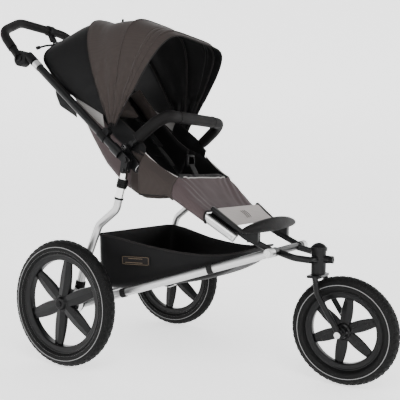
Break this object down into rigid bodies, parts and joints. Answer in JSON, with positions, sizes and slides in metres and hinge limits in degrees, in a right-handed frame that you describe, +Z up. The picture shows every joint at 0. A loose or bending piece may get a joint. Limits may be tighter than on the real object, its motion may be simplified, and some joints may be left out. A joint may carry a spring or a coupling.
{
  "type": "jogging stroller",
  "caption": "Folding three-wheeled pushchair with a swivelling front wheel, padded seat, bow canopy, bumper bar, under-seat basket and a turning push handle with brake lever.",
  "frame": {"origin": "on the floor, midway between the foremost point of the front tyre and the rearmost point of the handle, on the middle plane", "axes": "X across the stroller, Y towards the handle with the front wheel at -Y, Z up"},
  "size_m": [0.678, 1.398, 1.183],
  "materials": {
    "silver_tube": "satin anodised tube",
    "bright_sleeve": "polished sleeve",
    "black_tube": "satin black paint",
    "yoke_black": "satin black over a casting",
    "moulding_black": "fine moulded texture",
    "steel_bright": "plated",
    "fork_black": "satin black paint",
    "bow_black": "smooth",
    "grip_foam": "soft foam skin",
    "bar_steel": "black paint",
    "tyre_rubber": "small block tread",
    "wheel_black": "black moulded",
    "cloth_taupe": "plain woven",
    "cloth_black": "plain woven",
    "cloth_mauve": "plain woven",
    "panel_grey": "light woven",
    "webbing": "ribbed webbing",
    "cable_black": "smooth sheath"
  },
  "bodies": {
    "front_frame": {"front_tubes": "silver_tube", "front_rails": "black_tube", "yoke": "yoke_black", "swivel_bushes": "moulding_black", "housing_cap": "moulding_black", "hinge_knuckles": "black_tube", "frame_bolts": "steel_bright", "footrest_panel": "panel_grey", "foot_pad": "grip_foam", "seat_base": "cloth_black", "calf_apron": "cloth_mauve", "crotch_harness": "webbing"},
    "upper_frame": {"upper_tubes": "black_tube", "hinge_plates": "black_tube", "adjuster_inners": "moulding_black", "tube_clamps": "bright_sleeve", "canopy_clamps": "moulding_black", "rear_bow": "bow_black", "canopy_rear_panel": "cloth_black"},
    "bumper_bar": {"bumper_pad": "grip_foam", "bumper_core": "bar_steel"},
    "lower_frame": {"lower_tubes": "silver_tube", "rear_axle": "silver_tube", "axle_blocks": "moulding_black", "basket": "cloth_black"},
    "rear_legs": {"rear_legs": "silver_tube", "leg_sleeves": "bright_sleeve", "leg_fittings": "moulding_black"},
    "collar_left": {"lock_collar_left": "moulding_black"},
    "collar_right": {"lock_collar_right": "moulding_black"},
    "handlebar": {"handle_tube": "black_tube", "handle_grip": "grip_foam", "adjuster_outers": "moulding_black", "lever_clamp": "moulding_black", "brake_cable": "cable_black"},
    "lever": {"brake_lever": "moulding_black"},
    "button_left": {"adjuster_button_left": "moulding_black"},
    "button_right": {"adjuster_button_right": "moulding_black"},
    "backrest": {"seat_back": "cloth_black", "shoulder_straps": "webbing"},
    "canopy_mid": {"canopy_hubs": "moulding_black", "mid_bow": "bow_black", "canopy_top_rear": "cloth_taupe"},
    "canopy_front": {"front_bow": "bow_black", "canopy_top_front": "cloth_taupe", "visor": "cloth_taupe"},
    "swivel": {"fork": "fork_black", "fork_stem": "steel_bright", "front_axle": "steel_bright"},
    "front_roller": {"front_tyre": "tyre_rubber", "front_wheel": "wheel_black"},
    "knob": {"swivel_knob": "moulding_black"},
    "rear_roller_left": {"rear_tyre_left": "tyre_rubber", "rear_wheel_left": "wheel_black", "brake_drum_left": "steel_bright"},
    "rear_roller_right": {"rear_tyre_right": "tyre_rubber", "rear_wheel_right": "wheel_black", "brake_drum_right": "steel_bright"},
    "hub_button_left": {"axle_button_left": "moulding_black"},
    "hub_button_right": {"axle_button_right": "moulding_black"}
  },
  "joints": [
    {"name": "frame_fold", "type": "hinge", "parent": "front_frame", "child": "upper_frame", "pos_m": [0, 0.086, 0.652], "axis": [1, 0, 0], "range_deg": [0, 120]},
    {"name": "bumper_turn", "type": "hinge", "parent": "front_frame", "child": "bumper_bar", "pos_m": [0, 0.108, 0.69], "axis": [1, 0, 0], "range_deg": [0, 52.5]},
    {"name": "lower_turn", "type": "hinge", "parent": "front_frame", "child": "lower_frame", "pos_m": [0, -0.355, 0.386], "axis": [1, 0, 0], "range_deg": [0, 4.9]},
    {"name": "leg_turn", "type": "hinge", "parent": "lower_frame", "child": "rear_legs", "pos_m": [0, 0.266, 0.2], "axis": [1, 0, 0], "range_deg": [-5.4, 0]},
    {"name": "collar_slide_left", "type": "slide", "parent": "rear_legs", "child": "collar_left", "axis": [0, 0.2622, -0.965], "range_m": [0, 0.025]},
    {"name": "collar_slide_right", "type": "slide", "parent": "rear_legs", "child": "collar_right", "axis": [0, 0.2622, -0.965], "range_m": [0, 0.025]},
    {"name": "handle_turn", "type": "hinge", "parent": "upper_frame", "child": "handlebar", "pos_m": [0, 0.532, 0.998], "axis": [1, 0, 0], "range_deg": [-40, 40]},
    {"name": "lever_pull", "type": "hinge", "parent": "handlebar", "child": "lever", "pos_m": [0, 0.66, 1.124], "axis": [1, 0, 0], "range_deg": [0, 25], "stiffness_Nm_per_rad": 1, "springref_deg": -17.19},
    {"name": "adjuster_press_left", "type": "slide", "parent": "handlebar", "child": "button_left", "axis": [1, 0, 0], "range_m": [0, 0.0017], "stiffness_N_per_m": 400, "springref_m": -0.003},
    {"name": "adjuster_press_right", "type": "slide", "parent": "handlebar", "child": "button_right", "axis": [-1, 0, 0], "range_m": [0, 0.0017], "stiffness_N_per_m": 400, "springref_m": -0.003},
    {"name": "back_recline", "type": "hinge", "parent": "upper_frame", "child": "backrest", "pos_m": [0, 0.12, 0.556], "axis": [1, 0, 0], "range_deg": [-25, 0]},
    {"name": "canopy_tuck", "type": "hinge", "parent": "upper_frame", "child": "canopy_mid", "pos_m": [0, 0.16, 0.74], "axis": [1, 0, 0], "range_deg": [-44.5, 0], "deforming": ["canopy_top_rear"]},
    {"name": "canopy_front_fold", "type": "hinge", "parent": "canopy_mid", "child": "canopy_front", "pos_m": [0, 0.16, 0.74], "axis": [1, 0, 0], "range_deg": [-17.6, 0], "deforming": ["canopy_top_front"]},
    {"name": "swivel_turn", "type": "hinge", "parent": "front_frame", "child": "swivel", "pos_m": [0, -0.457, 0.36], "axis": [0, 0, 1], "continuous": true},
    {"name": "front_spin", "type": "hinge", "parent": "swivel", "child": "front_roller", "pos_m": [0, -0.539, 0.16], "axis": [1, 0, 0], "continuous": true},
    {"name": "knob_pull", "type": "slide", "parent": "front_frame", "child": "knob", "axis": [0, -1, 0], "range_m": [0, 0.008]},
    {"name": "rear_spin_left", "type": "hinge", "parent": "lower_frame", "child": "rear_roller_left", "pos_m": [-0.315, 0.266, 0.2], "axis": [1, 0, 0], "continuous": true},
    {"name": "rear_spin_right", "type": "hinge", "parent": "lower_frame", "child": "rear_roller_right", "pos_m": [0.315, 0.266, 0.2], "axis": [1, 0, 0], "continuous": true},
    {"name": "hub_press_left", "type": "slide", "parent": "rear_roller_left", "child": "hub_button_left", "axis": [1, 0, 0], "range_m": [0, 0.002], "stiffness_N_per_m": 400, "springref_m": -0.003},
    {"name": "hub_press_right", "type": "slide", "parent": "rear_roller_right", "child": "hub_button_right", "axis": [-1, 0, 0], "range_m": [0, 0.002], "stiffness_N_per_m": 400, "springref_m": -0.003}
  ],
  "couplings": [
    {"joint": "bumper_turn", "follows": "frame_fold", "ratio": 0.4333},
    {"joint": "lower_turn", "follows": "frame_fold", "ratio": 0.03991},
    {"joint": "leg_turn", "follows": "frame_fold", "ratio": -0.04428},
    {"joint": "canopy_tuck", "follows": "frame_fold", "ratio": -0.3667}
  ]
}
